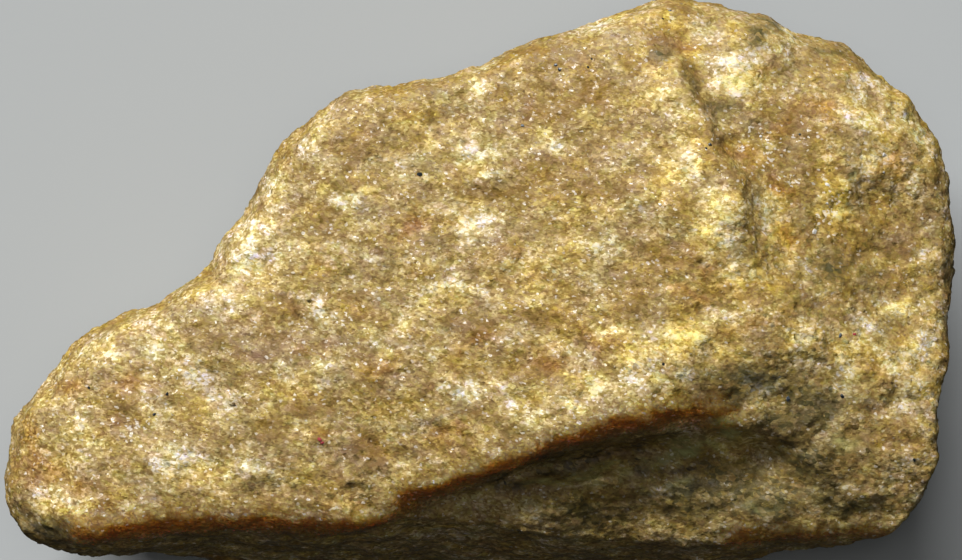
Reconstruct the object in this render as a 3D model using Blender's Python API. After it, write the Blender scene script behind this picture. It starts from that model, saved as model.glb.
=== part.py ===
"""Quartzite hand specimen: one broken block of yellow-brown quartzite, lying on its flattest break.

The stone is drawn as a survey seen from above.  RIM is the widest contour, all round the stone.
The lines of the upper side follow its real edges: the shoulder where the broad face turns over,
the lower edge, the brow and foot of the hollow and the sill in front of it, the roll and the low
step to its right, and the lip and foot of the notch near the top corner.  A bevel line under the
brow and under the lower edge eases the top of each wall.
The lines of the underside lie inside its breaks.  Each side is triangulated inside the rim, and
the two are joined along it and subdivided, with the sharp edges held by creases.  The corners of
the underside are pressed flat onto its breaks, the whole surface is roughened along its normals,
and what lies below z = 0 is pressed flat to give the break that the stone rests on.

Survey points are (x, y, z) in millimetres: x along the length, y across the broad face, z up.
"""

import bmesh
import bpy
from mathutils import Vector, noise
from mathutils.geometry import delaunay_2d_cdt

MM = 0.001
LENGTH = 80.0 * MM
WIDTH = 48.6 * MM
HEIGHT = 30.0 * MM

# The widest contour, clockwise seen from above, from the pointed end along the upper left side.
RIM = [
    (-40.0, -16.3, 20.4), (-39.7, -13.5, 19.9), (-38.9, -11.0, 20.4), (-37.9, -9.1, 21.0),
    (-35.2, -6.1, 21.5), (-32.8, -3.7, 22.0), (-29.4, -2.5, 22.5), (-27.5, -1.7, 22.5),
    (-24.3, 0.4, 23.0), (-22.6, 1.8, 23.5), (-22.0, 3.6, 23.5), (-20.8, 5.0, 23.0),
    (-19.3, 6.6, 23.5), (-18.8, 8.3, 24.0), (-17.6, 10.6, 24.0), (-15.9, 12.2, 24.0),
    (-13.8, 14.2, 24.5), (-12.3, 15.7, 25.0), (-10.8, 16.3, 25.0), (-7.4, 17.0, 25.5),
    (-1.8, 18.5, 25.5), (1.1, 19.6, 25.0), (7.8, 21.6, 24.5), (14.0, 23.4, 23.5),
    (16.3, 24.3, 23.0), (18.7, 24.1, 22.5), (21.0, 23.4, 21.6), (24.4, 23.2, 21.1),
    (26.5, 22.1, 20.6), (29.8, 21.1, 20.1), (31.6, 20.5, 20.1), (33.2, 19.0, 20.1),
    (35.2, 17.3, 21.1), (37.0, 16.1, 21.6), (38.5, 14.3, 20.2), (39.6, 12.1, 20.2),
    (40.0, 7.5, 20.0), (39.9, 1.5, 19.6), (39.7, -2.7, 20.8), (39.1, -10.8, 22.4),
    (38.5, -16.5, 21.8), (37.0, -19.2, 21.0), (34.8, -20.6, 20.2), (31.4, -21.6, 18.4),
    (24.2, -22.9, 13.0), (15.5, -23.7, 10.0), (6.0, -24.2, 9.0), (-4.0, -24.3, 8.5),
    (-14.0, -24.1, 8.0), (-23.7, -23.4, 8.5), (-31.1, -22.9, 11.5), (-34.5, -22.5, 17.5),
    (-37.2, -21.6, 21.8), (-38.9, -20.2, 21.6),
]

# Where the broad face turns over into the sides, just inside the rim.
SHOULDER = [
    (-39.4, -15.8, 23.0), (-37.8, -12.0, 24.2), (-34.9, -8.4, 25.2), (-31.6, -5.0, 26.0),
    (-27.9, -3.4, 26.4), (-24.1, -1.2, 26.6), (-20.9, 1.1, 26.8), (-19.9, 3.9, 27.2),
    (-17.9, 6.4, 27.2), (-17.0, 9.2, 27.0), (-15.2, 11.4, 27.4), (-12.5, 14.2, 27.6),
    (-10.1, 15.3, 27.6), (-6.8, 16.1, 27.8), (-3.0, 17.0, 28.0), (1.3, 18.6, 28.0),
    (5.1, 19.8, 28.2), (9.8, 21.2, 27.8), (14.2, 22.4, 26.8), (16.8, 23.2, 25.6),
    (19.9, 22.9, 24.6), (24.1, 22.0, 24.2), (26.7, 20.8, 24.0), (30.0, 19.8, 23.4),
    (32.7, 17.6, 23.2), (35.6, 15.4, 23.0), (37.9, 12.2, 23.0), (39.2, 7.6, 22.2),
    (39.1, 2.0, 21.4), (38.9, -2.7, 21.9), (38.4, -9.9, 23.4), (37.8, -14.4, 22.4),
    (36.4, -18.0, 21.4), (34.2, -19.7, 20.8),
]

# The lower edge, above the steep dark face, from the pointed end to the right.
LOWER_EDGE = [
    (-39.2, -17.9, 22.4), (-37.4, -18.5, 24.2), (-33.7, -19.8, 25.8), (-29.8, -20.1, 26.0),
    (-25.0, -19.0, 26.4), (-19.4, -19.2, 26.8), (-12.7, -19.8, 26.8), (-8.4, -19.7, 26.4),
    (-6.2, -18.8, 25.6), (-3.9, -19.5, 23.9), (-1.1, -20.1, 23.2), (2.6, -20.2, 23.7),
    (7.2, -21.2, 22.7), (13.0, -21.5, 21.3), (19.3, -21.5, 20.9), (25.5, -21.5, 21.0),
    (30.0, -20.9, 21.0), (34.2, -19.7, 20.8),
]

# The brow over the hollow, and the foot of the wall below it.
BROW = [
    (-6.4, -17.6, 27.0), (-4.2, -16.9, 27.6), (-2.3, -16.2, 28.0), (0.7, -14.8, 28.4),
    (3.5, -13.7, 28.9), (7.2, -12.6, 29.3), (9.5, -11.5, 29.7), (11.2, -10.6, 30.0),
    (15.4, -10.2, 29.6), (18.3, -10.0, 28.5), (21.9, -9.8, 27.2),
]
FOOT = [
    (-4.6, -18.1, 24.6), (-0.8, -17.0, 24.0), (4.4, -15.4, 23.0), (7.2, -14.7, 22.4),
    (9.5, -14.2, 22.0), (12.7, -13.6, 22.0), (15.0, -13.2, 23.2), (17.6, -12.3, 25.2),
    (19.4, -11.8, 26.4),
]

# The upper part of the walls under the brow and under the lower edge, which is less steep.
BROW_BEVEL = [
    (-0.4, -15.9, 27.3), (3.9, -14.7, 28.0), (7.4, -13.7, 28.4), (9.8, -12.7, 28.7),
    (11.8, -11.8, 28.9), (15.2, -11.4, 28.6),
]
LOWER_BEVEL = [
    (-33.9, -21.0, 23.8), (-29.6, -21.1, 24.0), (-24.8, -20.2, 24.4), (-19.2, -20.3, 24.8),
    (-12.9, -20.9, 24.8), (-8.6, -20.7, 24.4),
]

# Where the broad face rolls down to the lower right of the brow.
ROLL = [(19.6, -8.2, 28.8), (22.4, -7.0, 28.2), (25.0, -6.8, 27.4), (28.0, -7.2, 26.4)]

# The lit sill between the hollow and the ledge below it.
SILL = [(2.6, -17.2, 24.4), (6.0, -16.4, 25.4), (9.5, -16.0, 25.9), (12.6, -15.7, 25.4)]

# A low step across the slope, right of the hollow, and its foot.
STEP = [(22.0, -11.6, 26.2), (23.8, -11.9, 26.0), (26.4, -12.9, 25.2)]
STEP_FOOT = [(22.2, -13.4, 23.8), (24.4, -13.7, 22.8), (26.8, -14.4, 23.4)]

# The lip of the notch that a lost flake left near the top corner, and the foot of its wall.
LIP = [
    (14.9, 20.5, 26.9), (15.2, 19.2, 27.6), (16.6, 18.3, 28.1), (17.2, 17.0, 28.5),
    (18.0, 15.3, 28.9), (19.3, 13.1, 29.3), (19.6, 11.4, 29.5), (20.5, 10.3, 29.7),
    (21.7, 8.9, 29.8), (22.1, 7.7, 29.8), (21.9, 4.7, 29.6),
]
NOTCH_FOOT = [
    (17.0, 20.0, 25.9), (18.0, 18.5, 26.4), (18.5, 17.1, 26.8), (19.3, 15.3, 27.1),
    (20.4, 13.1, 27.4), (21.0, 11.3, 27.6), (22.4, 9.5, 27.8), (23.3, 7.4, 27.8),
    (23.1, 4.6, 27.9),
]

# Single heights on the broad face, the right-hand face, the slope and the ledge.
UPPER_SPOTS = [
    (-35.5, -15.5, 25.0), (-30.5, -12.0, 26.6), (-26.0, -17.0, 26.8), (-19.5, -4.5, 27.7),
    (-19.0, -12.5, 27.6), (-12.5, -16.0, 27.6), (-11.0, 6.0, 28.2), (-9.5, -7.0, 28.6),
    (-5.0, 12.0, 28.4), (-3.0, 1.5, 28.7), (-1.0, -11.0, 28.7), (5.0, 14.0, 28.6),
    (5.5, 6.0, 29.2), (7.0, -4.0, 29.2), (9.0, -9.0, 29.7), (12.5, 16.0, 28.6),
    (13.5, 9.5, 29.3), (14.5, 1.7, 29.2), (16.5, 4.5, 29.6), (18.5, 1.9, 29.4),
    (19.0, -1.5, 29.1), (12.5, -5.5, 29.6), (16.5, -7.0, 29.9), (23.5, 0.3, 28.4),
    (23.5, -4.0, 28.6), (27.5, -3.2, 27.2), (22.0, 19.0, 26.9),
    (25.0, 13.5, 26.2), (26.5, 8.5, 26.1), (27.0, 3.0, 26.2),
    (30.0, 16.5, 25.0), (29.5, 9.0, 25.8), (31.0, 3.5, 24.4), (34.5, 10.8, 25.0),
    (35.2, 5.2, 23.2), (30.5, -1.0, 25.3), (35.5, -0.8, 22.4), (32.0, -5.5, 25.5),
    (35.6, -6.0, 24.2), (31.8, -11.5, 24.4), (34.0, -15.5, 23.0), (29.0, -15.8, 23.7),
    (28.5, -9.8, 25.6), (18.6, -14.4, 24.0), (16.0, -17.0, 23.6), (7.0, -18.2, 24.6),
    (0.0, -18.2, 24.0), (22.6, -17.3, 23.0), (29.0, -18.6, 22.4), (11.5, -19.3, 22.4),
]

# The underside: the ridge below the rim, and the edge of the flat break that the stone rests on.
LOWER_RIDGE = [
    (-37.0, -16.5, 6.0), (-34.5, -11.5, 8.5), (-30.5, -6.5, 10.0), (-25.0, -4.5, 8.0),
    (-20.5, 0.5, 9.0), (-18.0, 6.0, 11.5), (-13.8, 11.8, 12.0), (-8.5, 14.0, 9.5),
    (-1.0, 15.5, 8.0), (7.0, 18.5, 9.0), (15.5, 21.8, 10.5), (22.5, 20.8, 8.0),
    (29.5, 17.5, 6.5), (35.0, 12.5, 7.0), (37.8, 4.5, 5.5), (37.6, -6.0, 5.0),
    (35.2, -15.0, 4.5), (28.0, -20.0, 4.0), (17.0, -21.8, 3.6), (4.0, -22.3, 3.2),
    (-9.0, -22.4, 3.0), (-21.0, -22.0, 3.2), (-31.5, -20.4, 4.5),
]
REST_EDGE = [
    (-30.5, -16.5, -0.8), (-27.0, -10.5, -0.4), (-19.0, -6.0, -0.6), (-13.5, 2.5, -0.4),
    (-8.5, 8.5, -0.8), (2.0, 11.0, -0.6), (12.0, 16.5, -0.5), (22.5, 15.0, -0.9),
    (30.0, 9.5, -0.6), (33.5, 0.0, -0.8), (32.0, -10.0, -0.5), (25.5, -16.5, -0.9),
    (8.0, -19.0, -0.6), (-8.0, -19.6, -0.8), (-21.0, -19.0, -0.6),
]
LOWER_SPOTS = [(-14.0, -12.0, -1.2), (4.0, -3.0, -1.3), (20.0, 2.0, -1.2)]

# Flat breaks that took the corners off the underside: (a point on the break, the way it faces).
BREAKS = [
    ((-36.6, -15.0, 6.4), (-0.80, -0.15, -0.58)),
    ((-24.0, -2.5, 8.0), (-0.45, 0.62, -0.64)),
    ((-13.4, 12.2, 10.5), (-0.55, 0.60, -0.58)),
    ((4.0, 16.5, 7.5), (0.05, 0.68, -0.73)),
    ((27.0, 17.5, 8.0), (0.42, 0.60, -0.68)),
    ((36.5, 4.0, 6.5), (0.82, 0.10, -0.56)),
    ((32.0, -16.5, 5.0), (0.62, -0.40, -0.68)),
    ((6.0, -21.5, 4.5), (0.12, -0.66, -0.74)),
    ((-20.0, -21.5, 5.0), (-0.14, -0.78, -0.61)),
]

# How sharp each edge stays when the stone is subdivided, from 0 to 1.
CREASES = [
    (RIM, True, 0.5), (SHOULDER, False, 0.3), (LOWER_EDGE, False, 0.75),
    (LOWER_BEVEL, False, 0.3), (BROW, False, 0.8), (BROW_BEVEL, False, 0.3), (FOOT, False, 0.3),
    (ROLL, False, 0.4), (SILL, False, 0.4), (STEP, False, 0.6), (STEP_FOOT, False, 0.3),
    (LIP, False, 0.85), (NOTCH_FOOT, False, 0.3), (LOWER_RIDGE, True, 0.3),
]
SUBDIVISIONS = 2
KEPT_SHARE = 0.52  # of the subdivided faces, once the flatter stretches are simplified

# The triangulation keeps only what lies inside the outline, and joins points closer than this.
INSIDE_OUTLINE = 1
SAME_POINT = 0.0001

# Roughness of the broken surface: (size of the lumps, their height) in millimetres.
LUMPS = [(14.0, 0.70), (6.0, 0.45)]
LUMP_SEED = Vector((13.7, 4.2, 8.9))


def clear_scene():
    """Empty the scene."""
    for item in list(bpy.data.objects):
        bpy.data.objects.remove(item)


def steps_along(line, closed):
    """The pairs of neighbouring points along a survey line."""
    pairs = list(zip(line, line[1:]))
    if closed:
        pairs.append((line[-1], line[0]))
    return pairs


def triangulate_side(rings, lines, spots):
    """Triangles of one side of the stone, inside the rim, that keep every surveyed line."""
    points = list(dict.fromkeys(sum(rings + lines, []) + spots))
    place = {point: index for index, point in enumerate(points)}
    links = [(place[a], place[b]) for ring in rings for a, b in steps_along(ring, True)]
    links += [(place[a], place[b]) for line in lines for a, b in steps_along(line, False)]
    outline = [place[point] for point in reversed(RIM)]
    flat_points = [Vector(point[:2]) for point in points]
    _, _, triangles, sources, _, _ = delaunay_2d_cdt(
        flat_points, links, [outline], INSIDE_OUTLINE, SAME_POINT
    )
    corners = [points[indices[0]] for indices in sources]
    return [[corners[index] for index in triangle] for triangle in triangles]


def join_sides(upper, lower):
    """One closed mesh of both sides, which share the points of the rim."""
    bm = bmesh.new()
    corners = {}
    for triangle in upper + [face[::-1] for face in lower]:
        for point in triangle:
            if point not in corners:
                corners[point] = bm.verts.new(Vector(point) * MM)
        bm.faces.new([corners[point] for point in triangle])
    crease = bm.edges.layers.float.new("crease_edge")
    for line, closed, sharpness in CREASES:
        for a, b in steps_along(line, closed):
            bm.edges.get((corners[a], corners[b]))[crease] = sharpness
    return bm


def subdivided(bm):
    """The coarse stone smoothed between its creased edges, with its flat stretches simplified."""
    coarse = bpy.data.meshes.new("coarse_stone")
    bm.to_mesh(coarse)
    bm.free()
    guide = bpy.data.objects.new("coarse_stone", coarse)
    bpy.context.collection.objects.link(guide)
    smoother = guide.modifiers.new("smooth", "SUBSURF")
    smoother.levels = SUBDIVISIONS
    smoother.render_levels = SUBDIVISIONS
    simplifier = guide.modifiers.new("simplify", "DECIMATE")
    simplifier.ratio = KEPT_SHARE
    graph = bpy.context.evaluated_depsgraph_get()
    smooth = bmesh.new()
    smooth.from_object(guide, graph)
    bpy.data.objects.remove(guide)
    bpy.data.meshes.remove(coarse)
    return smooth


def press_flat(bm, point, facing):
    """Bring back onto a plane whatever of the surface lies beyond it."""
    outward = Vector(facing).normalized()
    for vertex in bm.verts:
        depth = (vertex.co - Vector(point)).dot(outward)
        if depth > 0:
            vertex.co -= outward * depth


def roughen(bm):
    """Push the surface in and out along its normals, as a break in coarse grained stone is."""
    bm.normal_update()
    pushes = []
    for vertex in bm.verts:
        spot = vertex.co / MM + LUMP_SEED
        push = sum(height * noise.noise(spot / size) for size, height in LUMPS)
        pushes.append(vertex.normal * push * MM)
    for vertex, push in zip(bm.verts, pushes):
        vertex.co += push


def fit_to_size(bm):
    """Bring the stone to its real length, width and height, centred over the origin."""
    places = [vertex.co for vertex in bm.verts]
    low = Vector([min(place[axis] for place in places) for axis in range(3)])
    high = Vector([max(place[axis] for place in places) for axis in range(3)])
    middle = (low + high) / 2
    middle.z = low.z
    size = Vector((LENGTH, WIDTH, HEIGHT))
    for vertex in bm.verts:
        offset = vertex.co - middle
        vertex.co = Vector([offset[axis] * size[axis] / (high - low)[axis] for axis in range(3)])


def stone_material():
    """Dull, slightly glassy yellow-brown stone."""
    material = bpy.data.materials.new("quartzite")
    material.use_nodes = True
    shader = material.node_tree.nodes["Principled BSDF"]
    shader.inputs["Base Color"].default_value = (0.47, 0.34, 0.15, 1.0)
    shader.inputs["Roughness"].default_value = 0.55
    shader.inputs["Metallic"].default_value = 0.0
    return material


def build_stone():
    """Put the finished specimen in the scene as one object."""
    upper_lines = [
        SHOULDER, LOWER_EDGE, LOWER_BEVEL, BROW, BROW_BEVEL, FOOT, ROLL, SILL,
        STEP, STEP_FOOT, LIP, NOTCH_FOOT,
    ]
    upper = triangulate_side([RIM], upper_lines, UPPER_SPOTS)
    lower = triangulate_side([RIM, LOWER_RIDGE, REST_EDGE], [], LOWER_SPOTS)
    bm = subdivided(join_sides(upper, lower))
    for point, facing in BREAKS:
        press_flat(bm, Vector(point) * MM, facing)
    roughen(bm)
    press_flat(bm, (0, 0, 0), (0, 0, -1))
    fit_to_size(bm)
    mesh = bpy.data.meshes.new("quartzite_specimen")
    bm.to_mesh(mesh)
    bm.free()
    mesh.materials.append(stone_material())
    mesh.shade_smooth()
    stone = bpy.data.objects.new("quartzite_specimen", mesh)
    bpy.context.collection.objects.link(stone)


clear_scene()
build_stone()
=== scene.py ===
"""Quartzite specimen: the finished surface of one broken stone, on a pale floor in soft light.

Run as a script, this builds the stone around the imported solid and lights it.  Its operators and
settings are also laid out as an add-on, in the Quartzite tab of the 3D view's sidebar.
Lengths in the code are millimetres, and MM turns them into Blender's metres.
"""

import itertools
from math import radians

import bmesh
import bpy
import numpy as np
from bpy.props import FloatProperty, FloatVectorProperty, IntProperty, PointerProperty
from mathutils import Matrix, Vector, noise


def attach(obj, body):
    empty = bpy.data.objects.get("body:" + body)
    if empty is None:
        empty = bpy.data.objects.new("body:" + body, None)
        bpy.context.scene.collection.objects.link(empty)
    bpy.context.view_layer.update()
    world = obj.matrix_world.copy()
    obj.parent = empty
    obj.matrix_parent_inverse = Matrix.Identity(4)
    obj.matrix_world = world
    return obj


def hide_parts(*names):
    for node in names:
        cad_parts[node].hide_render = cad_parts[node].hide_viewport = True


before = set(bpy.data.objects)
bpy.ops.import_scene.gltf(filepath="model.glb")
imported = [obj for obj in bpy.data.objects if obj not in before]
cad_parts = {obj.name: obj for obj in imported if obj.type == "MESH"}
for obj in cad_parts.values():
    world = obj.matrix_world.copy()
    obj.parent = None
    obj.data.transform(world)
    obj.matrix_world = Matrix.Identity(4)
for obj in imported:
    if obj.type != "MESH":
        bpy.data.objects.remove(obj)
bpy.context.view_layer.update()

bl_info = {
    "name": "Quartzite Specimen",
    "version": (1, 0, 0),
    "blender": (4, 5, 0),
    "location": "View3D > Sidebar > Quartzite",
    "description": "Builds the grain, colour and light of a broken quartzite hand specimen",
    "category": "Object",
}

MM = 0.001
STONE_NODE = "quartzite_specimen"
STONE_PIECE = "quartzite_stone"
SPECKS_PIECE = "quartzite_specks"


# ---------------------------------------------------------------- settings


class StoneSettings(bpy.types.PropertyGroup):
    """What a user would change about the stone."""

    mesh_step: FloatProperty(
        name="Mesh step", description="Spacing of the points of the fine surface",
        default=0.26 * MM, min=0.2 * MM, max=1.0 * MM, precision=5, unit="LENGTH",
    )
    triangles: IntProperty(
        name="Triangles", description="Most triangles in the finished surface", default=196000,
    )
    relief: FloatProperty(
        name="Relief", description="Height of the roughness of the broken surface",
        default=1.0, min=0.0, max=3.0, subtype="FACTOR",
    )
    seed: IntProperty(
        name="Seed", description="Changes every random feature", default=7, min=1,
    )
    brown: FloatVectorProperty(
        name="Brown", description="Clear, iron-stained quartz between the pale clusters",
        subtype="COLOR", default=(0.262, 0.162, 0.043), min=0.0, max=1.0,
    )
    tan: FloatVectorProperty(
        name="Tan", description="Body of the stone",
        subtype="COLOR", default=(0.45, 0.324, 0.100), min=0.0, max=1.0,
    )
    cream: FloatVectorProperty(
        name="Cream", description="Clusters of crushed, milky grains",
        subtype="COLOR", default=(0.72, 0.59, 0.29), min=0.0, max=1.0,
    )
    white: FloatVectorProperty(
        name="White", description="The palest grains",
        subtype="COLOR", default=(0.94, 0.87, 0.66), min=0.0, max=1.0,
    )


class StageSettings(bpy.types.PropertyGroup):
    """The floor, light and camera."""

    floor_colour: FloatVectorProperty(
        name="Floor", description="Colour of the floor",
        subtype="COLOR", default=(0.415, 0.43, 0.43), min=0.0, max=1.0,
    )
    key_power: FloatProperty(
        name="Key light", description="Power of the main light", default=318.0, unit="POWER",
    )
    overhead_power: FloatProperty(
        name="Overhead light", description="Power of the weak light above", default=14.4,
        unit="POWER",
    )
    surroundings: FloatProperty(
        name="Surroundings", description="Brightness of the light from all round", default=0.07,
    )


# ---------------------------------------------------------------- objects and meshes


def add_object(name, data):
    """A new object in the scene."""
    item = bpy.data.objects.new(name, data)
    bpy.context.collection.objects.link(item)
    return item


def keep_modified(piece):
    """Turn what the piece's modifiers make into its own mesh."""
    graph = bpy.context.evaluated_depsgraph_get()
    mesh = bpy.data.meshes.new_from_object(piece.evaluated_get(graph))
    piece.modifiers.clear()
    piece.data = mesh


def read_points(mesh):
    """The mesh's points, in millimetres."""
    flat = np.empty(len(mesh.vertices) * 3, np.float32)
    mesh.vertices.foreach_get("co", flat)
    return flat.reshape(-1, 3).astype(float) / MM


def write_points(mesh, points):
    """Move the mesh's points."""
    mesh.vertices.foreach_set("co", (points * MM).astype(np.float32).ravel())
    mesh.update()


def read_normals(mesh):
    """The normal at each of the mesh's points."""
    flat = np.empty(len(mesh.vertices) * 3, np.float32)
    mesh.vertex_normals.foreach_get("vector", flat)
    return flat.reshape(-1, 3).astype(float)


# ---------------------------------------------------------------- fine surface

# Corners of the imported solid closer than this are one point.
WELD_GAP = 0.01
SMOOTHING_ROUNDS = 4

# The fabric of the stone: its grains are drawn out along lines that run almost along the stone's
# length, falling slightly to the right.
FABRIC_TURN = radians(10.0)
FABRIC_STRETCH = 1.4

# Broken facets: (width of a facet, how much it tilts).
FACETS = [(3.4, 0.035), (1.4, 0.07), (0.66, 0.15)]
# Rounded lumps: (width of a lump, its height).
LUMPS = [(5.5, 0.14), (2.2, 0.09), (0.9, 0.05)]
# How many times higher the lumps are on the steep sides than on the broad faces, less one.
SIDE_LUMPS = 1.6
# How far the lines of the relief wander sideways: (width of a bend, its depth).
WANDER = [(2.4, 0.25), (0.7, 0.08)]

# Each seed moves the noise this far along x, y and z, in widths of its lumps.
SEED_SHIFT = (17.3, 5.1, 9.7)
# Spreads the middles of neighbouring facets so far apart that each draws its own random tilt.
FACET_SPREAD = 997.0


def fine_copy(node, step):
    """An even, fine mesh of the node's solid."""
    piece = add_object(STONE_PIECE, node.data.copy())
    welder = piece.modifiers.new("weld", "WELD")
    welder.merge_threshold = WELD_GAP * MM
    remesher = piece.modifiers.new("even", "REMESH")
    remesher.mode = "VOXEL"
    remesher.voxel_size = step
    remesher.use_smooth_shade = True
    keep_modified(piece)
    return piece


def smoothed(mesh, points, rounds):
    """The points, each moved towards the middle of its neighbours a few times."""
    ends = np.empty(len(mesh.edges) * 2, np.int32)
    mesh.edges.foreach_get("vertices", ends)
    ends = ends.reshape(-1, 2)
    count = np.bincount(ends.ravel(), minlength=len(points))[:, None]
    for _ in range(rounds):
        total = np.zeros_like(points)
        for axis in range(3):
            total[:, axis] += np.bincount(ends[:, 0], points[ends[:, 1], axis], len(points))
            total[:, axis] += np.bincount(ends[:, 1], points[ends[:, 0], axis], len(points))
        points = (points + total / count) / 2
    return points


def seed_offset(seed):
    """A shift that gives each seed its own part of the noise."""
    return Vector([seed * shift for shift in SEED_SHIFT])


def lumps(points, size, seed):
    """Smooth noise from -1 to 1 at each point, with lumps of about the given size."""
    offset = seed_offset(seed)
    return np.array([noise.noise(Vector(point) / size + offset) for point in points])


def bends(points, size, seed):
    """A smooth random direction at each point, which changes over about the given size.

    The noise module's own seed also turns these, so it is set before each piece is made.
    """
    offset = seed_offset(seed)
    return np.array([noise.noise_vector(Vector(point) / size + offset) for point in points])


def facets(points, size, seed):
    """Height of small flat facets, each tilted its own way, in widths of a facet."""
    offset = seed_offset(seed)
    heights = []
    for point in points:
        place = Vector(point) / size + offset
        middle = noise.voronoi(place)[1][0]
        heights.append((place - middle).dot(noise.cell_vector(middle * FACET_SPREAD)))
    return np.array(heights)


def along_fabric(points):
    """The points squeezed along the stone's fabric, so that even noise comes out drawn along it."""
    turned = points @ np.array(Matrix.Rotation(-FABRIC_TURN, 3, "Z"))
    turned[:, 0] /= FABRIC_STRETCH
    return turned


def relief_points(mesh, settings):
    """The points of the fine surface, roughened at every scale from lumps down to grains."""
    points = smoothed(mesh, read_points(mesh), SMOOTHING_ROUNDS)
    write_points(mesh, points)
    normals = read_normals(mesh)
    steepness = 1.0 - np.abs(normals[:, 2])
    seeds = itertools.count(settings.seed)
    for size, depth in WANDER:
        points = points + bends(points, size, next(seeds)) * depth
    fabric = along_fabric(points)
    push = np.zeros(len(points))
    for size, height in LUMPS:
        push += height * lumps(fabric, size, next(seeds)) * (1.0 + SIDE_LUMPS * steepness)
    for size, tilt in FACETS:
        push += tilt * size * facets(fabric, size, next(seeds))
    return points + normals * push[:, None] * settings.relief


def rest_on_floor(mesh):
    """Press flat whatever of the mesh lies below the floor."""
    points = read_points(mesh)
    points[:, 2] = np.maximum(points[:, 2], 0.0)
    write_points(mesh, points)


def thin(piece, triangles):
    """Take triangles out of the flatter stretches until only so many are left."""
    present = sum(polygon.loop_total - 2 for polygon in piece.data.polygons)
    thinner = piece.modifiers.new("thin", "DECIMATE")
    thinner.ratio = min(1.0, triangles / present)
    keep_modified(piece)


# ---------------------------------------------------------------- stains, painted light and painted shade

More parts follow.
